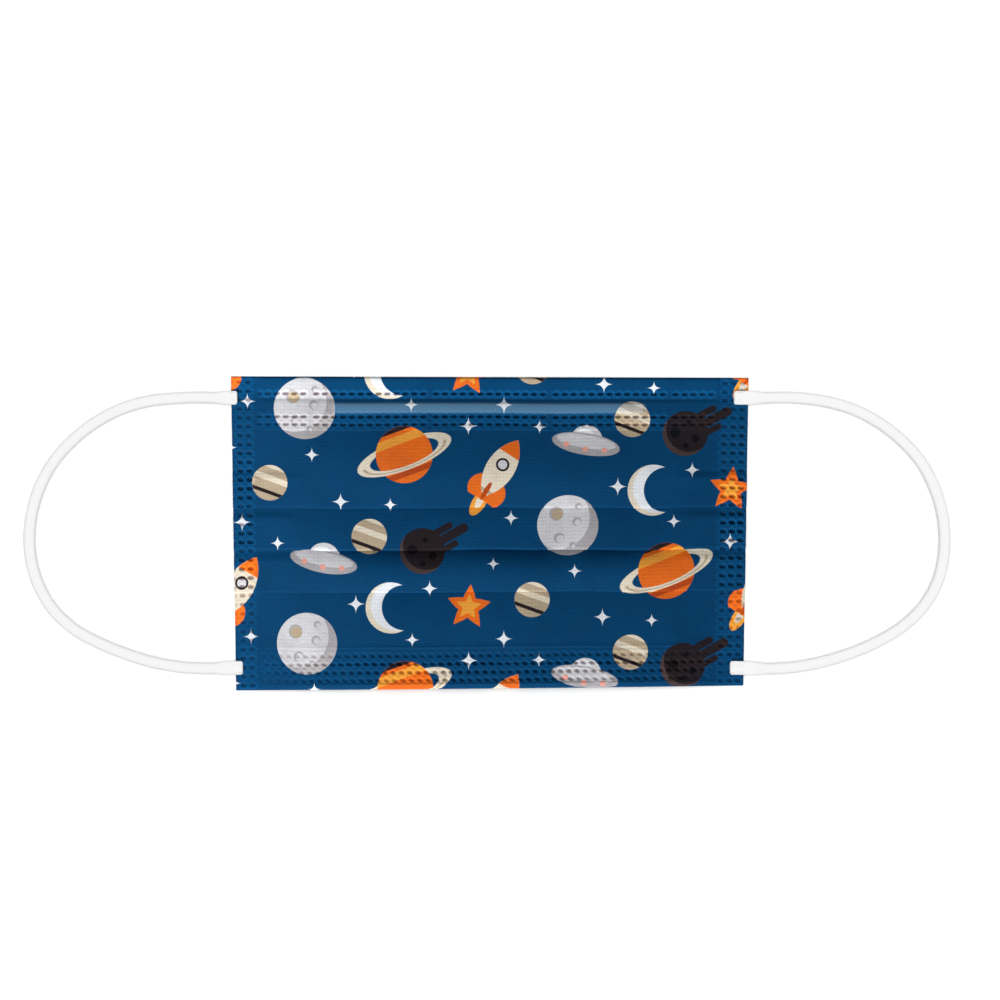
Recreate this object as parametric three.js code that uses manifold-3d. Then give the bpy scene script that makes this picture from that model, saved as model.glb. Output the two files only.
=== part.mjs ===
// A child's disposable face mask, lying flat with its printed face up.
// Millimetres. +Z is up, +X runs along the nose edge and +Y points to the nose edge.
// The origin is on the surface that the mask lies on, under the middle of its body.

import * as THREE from 'three';
import { mergeVertices } from 'three/addons/utils/BufferGeometryUtils.js';
import Module from 'manifold-3d';

// Driving sizes.
const BODY_WIDTH = 145; // at half height
const BODY_HEIGHT = 88; // folded, nose edge to chin edge
const WIDTH_TAPER = 0.0103; // the nose edge is this share wider than the middle, the chin edge narrower
const PLY = 1.0; // the bonded plies, as one wall
const GAP = 0.3; // clear space between two walls
const NOSE_FLAP = 14.5; // how far the nose edge is folded to the back
const CHIN_FLAP = 12; // the same at the chin edge
const PLEAT_DEPTH = 8; // cloth hidden behind each fold edge
const PLEAT_EDGES = [6.9, -5, -16.9]; // Y of the three fold edges, which all point to the chin
const RAMP = 3.2; // how far a panel takes to climb onto the next pleat
const SIDE_WELD = 7; // width of the welded band along each side
const PRESSED = 0.55; // what the welded sides keep of their height
const LOOSE = 0.35; // how much the middle of the pleats springs up, as a share of their height
const STATIONS = 18; // steps across the width

const WIRE_LENGTH = 86;
const WIRE_WIDTH = 3.1;
const WIRE_THICKNESS = 0.8;
const WIRE_Y = 35.4;
const RIDGE_RAMP = 1.5; // how far the cloth takes to climb over the wire

const LOOP_WIDTH = 3.2;
const LOOP_THICKNESS = 2;
const LOOP_SIDES = 8;
const LOOP_STEPS = 48;
const FLOOR_CLEARANCE = 0.05;

// Heights of the middle of the wall: on the floor, on one wall, and on two walls.
const LOW = PLY / 2;
const MID = LOW + PLY + GAP;
const HIGH = MID + PLY + GAP;
const TURN = (PLY + GAP) / 2; // radius of a fold, at the middle of the wall
const NOSE_Y = BODY_HEIGHT / 2;
const CHIN_Y = -BODY_HEIGHT / 2;
const FOLD_INSET = TURN + PLY / 2; // from a fold's outermost line to its centre
const HALF_WIDTH = BODY_WIDTH / 2;
const WELD_X = HALF_WIDTH - SIDE_WELD;

const PRINT = new THREE.MeshStandardMaterial({ color: 0x0d4a80, roughness: 0.75, metalness: 0 });
const WIRE = new THREE.MeshStandardMaterial({ color: 0xd8d8d6, roughness: 0.4, metalness: 0 });
const ELASTIC = new THREE.MeshStandardMaterial({ color: 0xf4f4f5, roughness: 0.9, metalness: 0 });

const wasm = await Module();
wasm.setup();

function toSolid(geometry) {
  const bare = geometry.clone();
  bare.deleteAttribute('normal');
  bare.deleteAttribute('uv');
  const merged = mergeVertices(bare, 1e-4);
  return new wasm.Manifold(new wasm.Mesh({
    numProp: 3,
    vertProperties: merged.getAttribute('position').array,
    triVerts: new Uint32Array(merged.index.array),
  }));
}

function toGeometry(solid) {
  const mesh = solid.getMesh();
  const geometry = new THREE.BufferGeometry();
  geometry.setAttribute('position', new THREE.BufferAttribute(mesh.vertProperties, 3));
  geometry.setIndex(new THREE.BufferAttribute(mesh.triVerts, 1));
  geometry.computeVertexNormals();
  return geometry;
}

// The middle line of the cloth in the Y-Z plane, from the free edge of the nose flap, round the nose
// edge, down the front through the three knife pleats, and round the chin edge to the chin flap.
function clothLine() {
  const line = new THREE.Path();
  line.moveTo(NOSE_Y - NOSE_FLAP, LOW);
  line.lineTo(NOSE_Y - FOLD_INSET, LOW);
  line.absarc(NOSE_Y - FOLD_INSET, LOW + TURN, TURN, -Math.PI / 2, Math.PI / 2, false);
  for (const rise of [RIDGE_RAMP, 0]) line.lineTo(WIRE_Y + WIRE_WIDTH / 2 + GAP + rise, MID);
  for (const fall of [0, RIDGE_RAMP]) line.lineTo(WIRE_Y - WIRE_WIDTH / 2 - GAP - fall, MID);
  line.lineTo(NOSE_Y - NOSE_FLAP, MID);
  for (const edge of PLEAT_EDGES) {
    const behind = edge + PLEAT_DEPTH;
    line.lineTo(behind + FOLD_INSET / 2, HIGH);
    line.lineTo(edge + FOLD_INSET, HIGH);
    line.absarc(edge + FOLD_INSET, HIGH - TURN, TURN, Math.PI / 2, Math.PI * 1.5, false);
    line.lineTo(behind - FOLD_INSET, MID);
    line.absarc(behind - FOLD_INSET, LOW + TURN, TURN, Math.PI / 2, -Math.PI / 2, true);
    line.lineTo(edge - GAP, LOW);
  }
  line.lineTo(CHIN_Y + CHIN_FLAP + RAMP, LOW);
  line.lineTo(CHIN_Y + CHIN_FLAP, MID);
  line.lineTo(CHIN_Y + FOLD_INSET, MID);
  line.absarc(CHIN_Y + FOLD_INSET, LOW + TURN, TURN, Math.PI / 2, Math.PI * 1.5, false);
  line.lineTo(CHIN_Y + CHIN_FLAP, LOW);
  return line.getPoints(2);
}

// The line moved sideways by a distance, with mitred corners.
function moved(points, distance) {
  return points.map((point, i) => {
    const before = points[Math.max(i - 1, 0)];
    const after = points[Math.min(i + 1, points.length - 1)];
    const inward = i > 0 ? point.clone().sub(before).normalize() : after.clone().sub(point).normalize();
    const outward = i < points.length - 1 ? after.clone().sub(point).normalize() : inward;
    const along = inward.clone().add(outward).normalize();
    const mitre = distance / along.dot(outward);
    return new THREE.Vector2(point.x - along.y * mitre, point.y + along.x * mitre);
  });
}

function withoutRepeats(points) {
  return points.filter((point, i) => i === 0 || point.distanceTo(points[i - 1]) > 1e-6);
}

function clothOutline() {
  const line = withoutRepeats(clothLine());
  return new THREE.Shape([...moved(line, PLY / 2), ...moved(line, -PLY / 2).reverse()]);
}

// What fills the folds in a welded side: everything under the middle line of the cloth that shows.
function weldOutline() {
  const inWall = PLY * 0.6;
  const outline = new THREE.Shape();
  outline.moveTo(NOSE_Y - FOLD_INSET, 0);
  outline.lineTo(NOSE_Y - inWall, MID);
  outline.lineTo(NOSE_Y - NOSE_FLAP, MID);
  for (const edge of PLEAT_EDGES) {
    outline.lineTo(edge + PLEAT_DEPTH + FOLD_INSET / 2, HIGH);
    outline.lineTo(edge + inWall, HIGH);
    outline.lineTo(edge + inWall, LOW);
    outline.lineTo(edge - GAP, LOW);
  }
  outline.lineTo(CHIN_Y + CHIN_FLAP + RAMP, LOW);
  outline.lineTo(CHIN_Y + CHIN_FLAP, MID);
  outline.lineTo(CHIN_Y + inWall, MID);
  outline.lineTo(CHIN_Y + FOLD_INSET, 0);
  return outline;
}

// How high the cloth stands at a place, as a share of its stacked height: pressed flat along the
// welded sides, and sprung up a little over the middle of the pleats.
function standing(x, y) {
  const side = THREE.MathUtils.smoothstep(Math.abs(x), HALF_WIDTH * 0.69, HALF_WIDTH * 0.88);
  const fromNose = THREE.MathUtils.smoothstep(NOSE_Y - y, NOSE_FLAP, NOSE_FLAP * 2);
  const fromChin = THREE.MathUtils.smoothstep(y - CHIN_Y, CHIN_FLAP, CHIN_FLAP * 2);
  const middle = Math.cos(Math.min(Math.abs(x) / HALF_WIDTH, 1) * Math.PI / 2) ** 2;
  return THREE.MathUtils.lerp(1 + LOOSE * middle * fromNose * fromChin, PRESSED, side);
}

// How far the outer wall of the nose hem is lifted over the wire.
function wireLift(x, y, z) {
  if (z < PLY + GAP / 2) return 0;
  const across = Math.abs(y - WIRE_Y) - WIRE_WIDTH / 2 - GAP;
  const climb = 1 - THREE.MathUtils.clamp(across / RIDGE_RAMP, 0, 1);
  const along = 1 - THREE.MathUtils.smoothstep(Math.abs(x), HALF_WIDTH * 0.67, HALF_WIDTH * 0.77);
  return (WIRE_THICKNESS + GAP) * climb * along;
}

// An outline in the Y-Z plane carried across the body from one X to another, then pressed to height.
function acrossBody(outline, fromX, toX, steps) {
  const geometry = new THREE.ExtrudeGeometry(outline, {
    depth: toX - fromX, steps, bevelEnabled: false,
  });
  const position = geometry.getAttribute('position');
  for (let i = 0; i < position.count; i += 1) {
    const x = fromX + position.getZ(i);
    const y = position.getX(i);
    const z = position.getY(i);
    const height = standing(x, y) * z + wireLift(x, y, z);
    position.setXYZ(i, x * (1 + WIDTH_TAPER * y / NOSE_Y), y, height);
  }
  return geometry;
}

function pleatedPanel() {
  const cloth = toSolid(acrossBody(clothOutline(), -HALF_WIDTH, HALF_WIDTH, STATIONS));
  const left = toSolid(acrossBody(weldOutline(), -HALF_WIDTH, -WELD_X, 1));
  const right = toSolid(acrossBody(weldOutline(), WELD_X, HALF_WIDTH, 1));
  return toGeometry(cloth.add(left).add(right));
}

// A flat strip with round ends, in the channel between the two walls of the nose hem.
function noseWire() {
  const round = WIRE_WIDTH / 2;
  const reach = WIRE_LENGTH / 2 - round;
  const strip = new THREE.Shape();
  strip.moveTo(-reach, -round);
  strip.lineTo(reach, -round);
  strip.absarc(reach, 0, round, -Math.PI / 2, Math.PI / 2, false);
  strip.lineTo(-reach, round);
  strip.absarc(-reach, 0, round, Math.PI / 2, Math.PI * 1.5, false);
  const geometry = new THREE.ExtrudeGeometry(strip, {
    depth: WIRE_THICKNESS, bevelEnabled: false, curveSegments: 4,
  });
  return geometry;
}

// Where each ear loop runs, from its nose end to its chin end. X and Y are chosen by hand; the height
// follows from whether a point is on the body or on the floor.
const LEFT_ROUTE = [
  [-71.4, 38.1], [-72.8, 38.1], [-74.2, 38.1], [-78, 38.1], [-82.5, 38.2], [-88, 38], [-95.7, 37.3],
  [-103.5, 35.2], [-110.9, 31.5], [-117.6, 26.4], [-123.2, 20.2], [-127.3, 12.7], [-129.7, 4.3],
  [-130.1, -4.6], [-128.2, -13.3], [-124, -21.1], [-117.7, -27.2], [-110.3, -31.3], [-102.9, -34.3],
  [-95.4, -36.6], [-87.7, -38], [-81.5, -38.4], [-76.8, -38.4], [-73, -38.3], [-69.8, -38.3],
];
const RIGHT_ROUTE = [
  [69, 38.1], [71.2, 38.1], [74.2, 38.1], [78, 38.1], [82.5, 38.2], [88, 38], [95.8, 36.9],
  [103.4, 34.6], [110.5, 30.8], [116.8, 25.8], [122.2, 19.6], [126, 12.2], [128.2, 4.1],
  [128.6, -4.4], [127, -12.9], [123, -20.4], [117, -26.4], [110, -30.7], [102.9, -33.8],
  [95.5, -36.2], [87.9, -37.8], [81.8, -38.4], [77.2, -38.5], [73.2, -38.4], [69.8, -38.3], [67.9, -38.3],
];
const LOOP_ON_FLOOR = LOOP_THICKNESS / 2 + FLOOR_CLEARANCE;
const LOOP_ON_BODY = (MID + PLY / 2) * PRESSED + GAP + LOOP_THICKNESS / 2;
const LOOP_LANDING = [HALF_WIDTH + 2.5, HALF_WIDTH + 9]; // where a loop leaves the body and meets the floor

function loopHeight(x) {
  const down = THREE.MathUtils.smoothstep(Math.abs(x), ...LOOP_LANDING);
  return THREE.MathUtils.lerp(LOOP_ON_BODY, LOOP_ON_FLOOR, down);
}

// An eight-sided oval section carried along the route. The path starts level, so the section's first
// axis is upright all the way.
function earLoop(route) {
  const path = new THREE.CatmullRomCurve3(route.map(([x, y]) => new THREE.Vector3(x, y, loopHeight(x))));
  const section = new THREE.Shape();
  for (let i = 0; i < LOOP_SIDES; i += 1) {
    const angle = (i + 0.5) / LOOP_SIDES * Math.PI * 2;
    const grow = 1 / Math.cos(Math.PI / LOOP_SIDES);
    const across = Math.cos(angle) * grow * LOOP_WIDTH / 2;
    const up = Math.sin(angle) * grow * LOOP_THICKNESS / 2;
    if (i === 0) section.moveTo(up, across);
    else section.lineTo(up, across);
  }
  return new THREE.ExtrudeGeometry(section, { steps: LOOP_STEPS, extrudePath: path, bevelEnabled: false });
}

const mask = new THREE.Group();

function addPiece(name, geometry, material, position = [0, 0, 0]) {
  const mesh = new THREE.Mesh(geometry, material);
  mesh.name = name;
  mesh.position.set(...position);
  mask.add(mesh);
}

addPiece('pleated_panel', pleatedPanel(), PRINT);
addPiece('nose_wire', noseWire(), WIRE, [0, WIRE_Y, PLY + GAP]);
addPiece('ear_loop_left', earLoop(LEFT_ROUTE), ELASTIC);
addPiece('ear_loop_right', earLoop(RIGHT_ROUTE), ELASTIC);

export default mask;
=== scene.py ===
import bpy
import numpy as np
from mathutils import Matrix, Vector


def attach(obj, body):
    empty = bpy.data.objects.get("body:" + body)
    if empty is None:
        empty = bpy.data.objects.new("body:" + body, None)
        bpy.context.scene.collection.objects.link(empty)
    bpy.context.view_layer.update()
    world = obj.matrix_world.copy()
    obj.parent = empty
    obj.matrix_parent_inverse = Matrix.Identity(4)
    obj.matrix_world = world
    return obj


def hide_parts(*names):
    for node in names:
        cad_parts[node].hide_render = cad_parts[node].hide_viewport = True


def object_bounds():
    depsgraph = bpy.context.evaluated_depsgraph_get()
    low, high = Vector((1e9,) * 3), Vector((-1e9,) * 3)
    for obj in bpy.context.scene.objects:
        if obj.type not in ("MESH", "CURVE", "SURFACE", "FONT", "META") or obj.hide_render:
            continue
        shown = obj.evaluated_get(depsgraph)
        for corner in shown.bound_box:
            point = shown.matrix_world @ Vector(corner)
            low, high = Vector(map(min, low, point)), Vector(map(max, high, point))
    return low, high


# A child's disposable face mask, lying flat with its printed side up.
# Lengths in this script are millimetres, and times MM they are the metres that Blender takes.
MM = 0.001

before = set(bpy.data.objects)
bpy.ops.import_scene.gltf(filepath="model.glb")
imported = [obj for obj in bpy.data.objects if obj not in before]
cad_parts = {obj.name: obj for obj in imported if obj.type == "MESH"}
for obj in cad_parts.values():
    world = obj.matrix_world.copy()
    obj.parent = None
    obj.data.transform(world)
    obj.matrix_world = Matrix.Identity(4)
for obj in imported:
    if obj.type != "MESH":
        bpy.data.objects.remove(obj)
cad_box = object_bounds()

# ---------- camera, floor and light

VIEW_WIDTH = 283.2
VIEW_AIM = (2.9, 9.2)
LENS = 100
SENSOR = 36
NEAREST_SEEN = 10
FLOOR_REACH = 3000
KEY_PLACE = (-500, -1230, 900)
KEY_SIZE = 560
KEY_POWER = 33
TOP_PLACE = (80, 60, 1300)
TOP_SIZE = 420
TOP_POWER = 4.3
EDGE_PLACE = (-125, 0, 100)
EDGE_SIZE = 60
EDGE_POWER = 0.06
SKY_STRENGTH = 0.17
BACKDROP_STRENGTH = 1.0
EVEN_LIGHT = 2.5
EVEN_LIGHT_SPREAD = 1.6


def linked_object(name, data):
    """A new object for the data, in the scene's own collection."""
    made = bpy.data.objects.new(name, data)
    bpy.context.scene.collection.objects.link(made)
    return made


def soft_lamp(name, place, size, power, aim=(0, 0, 0)):
    """A square lamp of the given side, at a place, facing a point of the mask."""
    data = bpy.data.lights.new(name, "AREA")
    data.shape = "SQUARE"
    data.size = size * MM
    data.energy = power
    lamp = linked_object(name, data)
    lamp.rotation_euler = (Vector(place) - Vector(aim)).to_track_quat("Z", "Y").to_euler()
    lamp.location = [length * MM for length in place]
    return lamp


def light_linked(lamp, pieces, state):
    """Keeps a lamp's light to these pieces alone with INCLUDE, or off them with EXCLUDE."""
    group = bpy.data.collections.new(lamp.name + " group")
    for piece in pieces:
        group.objects.link(piece)
    for member in group.collection_objects:
        member.light_linking.link_state = state
    lamp.light_linking.receiver_collection = group


def set_camera():
    """A long lens straight above the mask, its nose edge at the top of the picture."""
    lens = bpy.data.cameras.new("camera")
    lens.lens = LENS
    lens.sensor_width = SENSOR
    lens.clip_start = NEAREST_SEEN * MM
    camera = linked_object("camera", lens)
    distance = VIEW_WIDTH * LENS / SENSOR
    camera.location = [length * MM for length in (*VIEW_AIM, distance)]
    bpy.context.scene.camera = camera


def white_room():
    """A world that lights the mask dimly from all round and is seen as a white backdrop."""
    world = bpy.data.worlds.new("white room")
    bpy.context.scene.world = world
    world.use_nodes = True
    tree = world.node_tree
    sky = tree.nodes["Background"]
    sky.inputs["Color"].default_value = (1, 1, 1, 1)
    ray = tree.nodes.new("ShaderNodeLightPath")
    strength = tree.nodes.new("ShaderNodeMix")
    strength.inputs["A"].default_value = SKY_STRENGTH
    strength.inputs["B"].default_value = BACKDROP_STRENGTH
    tree.links.new(ray.outputs["Is Camera Ray"], strength.inputs["Factor"])
    tree.links.new(strength.outputs["Result"], sky.inputs["Strength"])


def set_light(whites):
    """Three lamps for the cloth, and an even light for the floor and the ear loops.

    The key lamp, low beyond the chin edge, models the cloth's relief, and a small lamp brightens
    the mask's left edge. Both are kept off the floor and the loops, which the even light leaves
    white all round. A weak lamp above reaches everything.
    """
    bpy.context.scene.view_settings.view_transform = "Standard"
    white_room()
    key = soft_lamp("key lamp", KEY_PLACE, KEY_SIZE, KEY_POWER)
    light_linked(key, whites, "EXCLUDE")
    edge = soft_lamp("edge lamp", EDGE_PLACE, EDGE_SIZE, EDGE_POWER, (*EDGE_PLACE[:2], 0))
    edge.visible_camera = False
    light_linked(edge, whites, "EXCLUDE")
    soft_lamp("top lamp", TOP_PLACE, TOP_SIZE, TOP_POWER)
    sun = bpy.data.lights.new("even light", "SUN")
    sun.energy = EVEN_LIGHT
    sun.angle = EVEN_LIGHT_SPREAD
    light_linked(linked_object("even light", sun), whites, "INCLUDE")


# ---------- arithmetic on whole arrays

def ramp(value, start, end):
    """Smooth step from 0 at start to 1 at end: 3t^2 - 2t^3 of the clamped fraction t."""
    t = np.clip((value - start) / (end - start), 0, 1)
    return t * t * (3 - 2 * t)


def mixed(first, second, share):
    """The first value where share is 0, the second where it is 1, in a straight line between."""
    return first + (second - first) * share


def hump(value, centre, width):
    """A bell curve, exp(-d^2) of the distance d from its centre in widths."""
    return np.exp(-((value - centre) / width) ** 2)


def quarter_round(share):
    """A quarter circle's height: sqrt(1 - (1 - t)^2) of the clamped fraction t."""
    return np.sqrt(1 - (1 - np.clip(share, 0, 1)) ** 2)


def superellipse(angle, power):
    """Cosine and sine of the angle, each raised to the power with its sign kept."""
    return [np.sign(wave) * np.abs(wave) ** power for wave in (np.cos(angle), np.sin(angle))]


def around(value, pitch):
    """The signed distance to the nearest whole multiple of the pitch."""
    return value - pitch * np.round(value / pitch)


def ripples(x, y, seed, shortest, longest, waves=9):
    """Plane waves of seeded heading, length and phase, added up and scaled to about -1 to 1."""
    draw = np.random.default_rng(seed)
    heading = draw.uniform(0, np.pi, waves)
    length = draw.uniform(shortest, longest, waves)
    phase = draw.uniform(0, 2 * np.pi, waves)
    x, y = np.asarray(x)[..., None], np.asarray(y)[..., None]
    across = x * np.cos(heading) + y * np.sin(heading)
    return np.sin(across * (2 * np.pi / length) + phase).sum(-1) / np.sqrt(waves)


DECIMALS = 4
ROUNDING = 1e-6


def lines_through(start, end, centres, offsets, widest):
    """Grid lines from start to end, at each centre plus each offset, with wider gaps shared out."""
    low, high = min(start, end), max(start, end)
    marks = np.add.outer(np.asarray(centres, float), np.asarray(offsets, float)).ravel()
    marks = marks[(marks > low + widest / 4) & (marks < high - widest / 4)]
    marks = np.unique(np.concatenate([[low, high], marks]).round(DECIMALS))
    gaps = np.diff(marks)
    counts = np.ceil(gaps / widest - ROUNDING).astype(int)
    place = np.arange(counts.sum()) - np.repeat(np.cumsum(counts) - counts, counts)
    lines = np.repeat(marks[:-1], counts) + place * np.repeat(gaps / counts, counts)
    lines = np.append(lines, high)
    return lines if start < end else lines[::-1]


# ---------- the ear loops' routes

LEFT_ROUTE = (
    (-71.4, 38.1), (-72.8, 38.1), (-74.2, 38.1), (-78, 38.1), (-82.5, 38.2), (-88, 38),
    (-95.7, 37.3), (-103.5, 35.2), (-110.9, 31.5), (-117.6, 26.4), (-123.2, 20.2),
    (-127.3, 12.7), (-129.7, 4.3), (-130.1, -4.6), (-128.2, -13.3), (-124, -21.1),
    (-117.7, -27.2), (-110.3, -31.3), (-102.9, -34.3), (-95.4, -36.6), (-87.7, -38),
    (-81.5, -38.4), (-76.8, -38.4), (-73, -38.3), (-69.8, -38.3),
)
RIGHT_ROUTE = (
    (69, 38.1), (71.2, 38.1), (74.2, 38.1), (78, 38.1), (82.5, 38.2), (88, 38),
    (95.8, 36.9), (103.4, 34.6), (110.5, 30.8), (116.8, 25.8), (122.2, 19.6),
    (126, 12.2), (128.2, 4.1), (128.6, -4.4), (127, -12.9), (123, -20.4),
    (117, -26.4), (110, -30.7), (102.9, -33.8), (95.5, -36.2), (87.9, -37.8),
    (81.8, -38.4), (77.2, -38.5), (73.2, -38.4), (69.8, -38.3), (67.9, -38.3),
)
LOOP_WIDTH = 3.2
LOOP_THICKNESS = 2.0
WELDED_WIDTH = 3.9
WELDED_THICKNESS = 0.95
WELDED_HEIGHT = 1.02
WELD_ENDS = 74.0
ROUND_FROM = 78.5
WELD_PIT = 0.36
FLOOR_CLEARANCE = 0.05
ROUTE_STEPS = 24
LOOP_STEP = 0.27
LOOP_SIDES = 44
LOOP_SQUARENESS = 0.62
END_LENGTH = 0.7
END_HEIGHT = 0.3
END_WIDTH = 0.55
WALES = 9
WALE_RISE = 0.07
WALE_LEVEL = 0.6
STITCH = 0.78
STITCH_RISE = 0.035
RELIEF_PRESSED = 0.8


def smooth_route(route, step):
    """Catmull-Rom curve through the points, then points spaced evenly by its length."""
    points = np.array(route, float)
    points = np.vstack([2 * points[0] - points[1], points, 2 * points[-1] - points[-2]])
    t = np.linspace(0, 1, ROUTE_STEPS, endpoint=False)[None, :, None]
    a, b, c, d = (points[k:len(points) - 3 + k][:, None, :] for k in range(4))
    curve = 0.5 * (2 * b + (c - a) * t + (2 * a - 5 * b + 4 * c - d) * t ** 2
                   + (3 * b - a - 3 * c + d) * t ** 3)
    curve = np.vstack([curve.reshape(-1, 2), points[-2]])
    run = np.concatenate([[0], np.cumsum(np.hypot(*np.diff(curve, axis=0).T))])
    even = np.linspace(0, run[-1], int(run[-1] / step) + 1)
    return np.column_stack([np.interp(even, run, curve[:, k]) for k in range(2)]), even


# ---------- the weld pattern

HALF_WIDTH = 72.5
HALF_HEIGHT = 44.0
PIT_PITCH = 2.5
# Each kind of pit: its half sides, its corners' radius, half its wall's width, the half
# diagonals of the diamond that its lips follow, and how strongly they rise.
SIDE_PIT = {"size": (0.84, 0.46), "corner": 0.3, "wall": 0.16, "diamond": (1.25, 1.25), "lift": 1}
NOSE_PIT = {"size": (0.8, 0.37), "corner": 0.2, "wall": 0.13, "diamond": (1.25, 1.15), "lift": 1}
CHIN_PIT = {"size": (0.66, 0.44), "corner": 0.42, "wall": 0.24, "diamond": (1.19, 1.16), "lift": 1.1}
# Columns and rows of pits: the place of each and how deep it is.
SIDE_COLUMNS = ((-72.6, 0.45), (-70.2, 1), (-67.7, 1), (66.0, 0.85), (68.5, 1), (70.9, 1))
NOSE_ROWS = ((39.3, 1), (32.8, 0.95), (30.6, 0.85))
CHIN_ROWS = ((-34.4, 0.35), (-36.8, 0.55), (-39.1, 0.55), (-41.3, 0.36))
SIDE_FROM = 64.8
ROWS_SHIFT = 0.9
ROWS_FADE = 1.2
NOSE_REPEAT = 33.6
NOSE_RUN = 16.0
NOSE_RUN_FADE = 0.1
NOSE_SHEAR = 0.3
CHIN_PITCH = 2.38
CHIN_SHEAR = 0.25
RING_REACH = 0.42
RING_WIDTH = 0.26
RING_SHARE = 0.6
LATTICE_WIDTH = 0.24
UNEVEN = 0.18
# Each set of waves: its seed, its shortest and longest wave, then how many if not nine.
WELD_WAVES = (21, 7, 26)
LOOSE_WAVES = (5, 14, 46)
PUCKER_WAVES = (11, 4, 9)
ARCH_WAVES = (3, 22, 60, 6)
FOLD_WAVES = (8, 18, 60, 5)


def pit_edge(dx, dy, size, corner):
    """Signed distance to a rounded rectangle: below 0 inside it, its half sides in size."""
    ax = np.abs(dx) - size[0] + corner
    ay = np.abs(dy) - size[1] + corner
    outside = np.hypot(np.maximum(ax, 0), np.maximum(ay, 0))
    return outside + np.minimum(np.maximum(ax, ay), 0) - corner


def weld_marks(x, y, separate=1):
    """How far a spot is pressed, 0 to 1, and how far it stands as a lip round a pressed spot.

    Each pit is a rounded rectangle with a sloping wall. Lips are bell curves: one of the
    distance outside the wall, one across the diamond |dx| / a + |dy| / b = 1 round the pit, so
    that neighbouring diamonds join in a lattice. Pits stand in columns at the sides and in rows
    at the nose and the chin; with separate at 0 each side column is one long groove.
    """
    pressed = np.zeros(np.broadcast(x, y).shape)
    lip = np.zeros_like(pressed)

    def add(dx, dy, pit, depth):
        nonlocal pressed, lip
        edge = pit_edge(dx, dy, pit["size"], pit["corner"])
        pressed = np.maximum(pressed, depth * (1 - ramp(edge, -pit["wall"], pit["wall"])))
        ring = RING_SHARE * hump(edge, RING_REACH, RING_WIDTH)
        diamond = np.abs(dx) / pit["diamond"][0] + np.abs(dy) / pit["diamond"][1]
        lattice = hump(diamond, 1, LATTICE_WIDTH)
        lip = np.maximum(lip, pit["lift"] * depth * np.maximum(ring, lattice))

    uneven = 1 - UNEVEN + UNEVEN * ripples(x, y, *WELD_WAVES)
    for column, depth in SIDE_COLUMNS:
        add(x - column, around(y, PIT_PITCH) * separate, SIDE_PIT, depth * uneven)
    middle = 1 - ramp(np.abs(x + ROWS_SHIFT), SIDE_FROM - ROWS_FADE, SIDE_FROM)
    across = around(x, NOSE_REPEAT)
    in_run = 1 - ramp(np.abs(across) - NOSE_RUN, -NOSE_RUN_FADE, NOSE_RUN_FADE)
    for row, depth in NOSE_ROWS:
        dx = around(across - NOSE_SHEAR * (y - row), PIT_PITCH)
        add(dx, y - row, NOSE_PIT, depth * middle * in_run)
    for row, depth in CHIN_ROWS:
        dx = around(x + CHIN_SHEAR * (y - CHIN_ROWS[0][0]), CHIN_PITCH)
        add(dx, y - row, CHIN_PIT, depth * middle * uneven)
    return pressed, lip


# ---------- how the cloth lies

CLOTH = 0.5
# Each layer: how far its upper and its lower face stand from the middle of the cloth.
PRINTED_LAYER = (CLOTH / 2, 0.02)
WHITE_LAYER = (-0.12, -CLOTH / 2)
FLAP_LEVEL = 0.25
NOSE_LEVEL = 0.8
CHIN_LEVEL = 1.15
CHIN_TILT = 0.25
HEM_FUSED = 0.5
LOW_FUSED = 0.25
MIDDLE_FUSED = 0.77
TOP_FUSED = 1.29
# Each pleat: its fold edge along the mask, the heights of its three passes, then how steeply
# and how fully the panel above the edge swells.
PLEATS = (
    {"edge": 6.9, "low": 0.75, "middle": 1.27, "crest": 1.76, "power": 2, "bulge": 0.4},
    {"edge": -5.0, "low": 0.25, "middle": 0.85, "crest": 1.8, "power": 1.15, "bulge": 0.2},
    {"edge": -16.9, "low": 0.25, "middle": 0.85, "crest": 1.45, "power": 3.4, "bulge": 0.42},
)
LAST_PANEL = {"crest": CHIN_LEVEL, "power": 2.3, "bulge": 0}
# The rows where a panel's welded height changes: below the nose hem, below a fold (counted from
# the fold) and above the chin hem.
NOSE_CHANGE = (17.5, 15)
FOLD_CHANGE = (-0.3, -3.2)
CHIN_CHANGE = (-29.5, -32)
FOLD_DEPTH = 8.0
FOLD_REACH = 0.42
HEM_REACH = 0.27
NOSE_FLAP_END = 29.5
CHIN_FLAP_END = -32.0
NOSE_SEAM = 28.9
CHIN_SEAM = -32.3
LINING_NOSE = 29.9
LINING_CHIN = -32.6
LOOSE_INSIDE = 50
FUSED_OUTSIDE = 65.4
FUSED_SQUEEZE = 0.68
HEM_SQUEEZE = 0.9
PUFF = 0.5
PUFF_FROM_HEM = (4, 30)
PUFF_FROM_SIDE = (14, 50)
PUFF_AT_CHIN = (-10, -20)
LOOSE_SWAY = 0.06
PUCKER = 0.09
PUCKER_BAND = (61, 7)
PUCKER_DRAWN = 0.35
PRESS_DEPTH = 0.66
LIP_HEIGHT = 0.12
GRIP = 0.16
ARCH = 0.55
ARCH_SWAY = 0.45
CHIN_CURL = 2.3
CURL_ROWS = (-2, -58)
WANDER = 0.16
WANDER_DRAWN = 0.2
TAPER = 0.0103
NOSE_SLOPE = -0.2
CHIN_SLOPE = 0.7

WIRE_Y = 35.25
WIRE_LEVEL = FLAP_LEVEL + 0.34
WIRE_WIDTH = 2.2
WIRE_THICKNESS = 0.54
WIRE_HALF_LENGTH = 43
RIDGE = 0.42
RIDGE_WIDTH = 2.6
RIDGE_DOME = 0.3
RIDGE_WALL = 0.3
RIDGE_ENDS = (WIRE_HALF_LENGTH - 0.5, WIRE_HALF_LENGTH + 1.2)
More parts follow.
